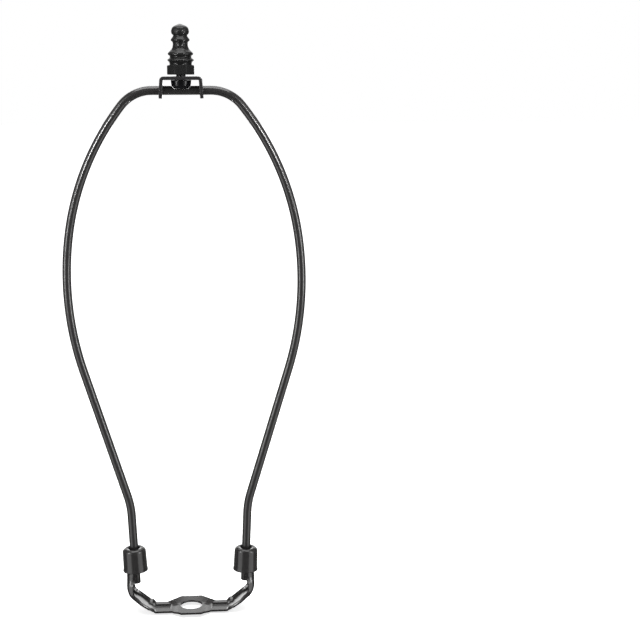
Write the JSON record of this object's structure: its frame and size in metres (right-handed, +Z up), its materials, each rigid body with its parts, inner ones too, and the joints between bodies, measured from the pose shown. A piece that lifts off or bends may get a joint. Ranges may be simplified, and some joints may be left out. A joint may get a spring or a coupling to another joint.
{
  "type": "lamp harp",
  "caption": "Bent wire bow on a formed sheet saddle with locking ferrules and a swivel clip with stud and finial, which holds a lampshade above a lampholder.",
  "frame": {"origin": "under the middle of the saddle's eye, at the level of the two pressed pockets that are the lowest points", "axes": "+Z up along the lamp's stem towards the finial, X across the harp from leg to leg, Y through the flat of the bow"},
  "size_m": [0.113, 0.0216, 0.2792],
  "materials": {
    "saddle_paint": "satin to gloss black paint on formed sheet steel",
    "wire_paint": "satin black paint on bent steel wire",
    "ferrule_paint": "glossy black paint on drawn steel cups",
    "clip_paint": "satin black paint on a bent steel strap",
    "stud_paint": "glossy black paint on a turned and threaded stud",
    "finial_paint": "glossy black paint on a turned finial"
  },
  "bodies": {
    "saddle": {"saddle": "saddle_paint"},
    "bow": {"harp_bow": "wire_paint", "swivel_clip": "clip_paint"},
    "left_ferrule": {"left_ferrule": "ferrule_paint"},
    "right_ferrule": {"right_ferrule": "ferrule_paint"},
    "stud": {"threaded_stud": "stud_paint"},
    "finial": {"finial": "finial_paint"}
  },
  "joints": [
    {"name": "bow_lift", "type": "slide", "parent": "saddle", "child": "bow", "axis": [0, 0, 1], "range_m": [0, 0.02]},
    {"name": "left_ferrule_slide", "type": "slide", "parent": "bow", "child": "left_ferrule", "axis": [-0.0445, 0, 0.999], "range_m": [0, 0.014]},
    {"name": "right_ferrule_slide", "type": "slide", "parent": "bow", "child": "right_ferrule", "axis": [0.0445, 0, 0.999], "range_m": [0, 0.014]},
    {"name": "stud_swivel", "type": "hinge", "parent": "bow", "child": "stud", "pos_m": [0, 0, 0.2556], "axis": [0, 0, 1], "continuous": true},
    {"name": "finial_lift", "type": "slide", "parent": "stud", "child": "finial", "axis": [0, 0, 1], "range_m": [0, 0.009]}
  ]
}
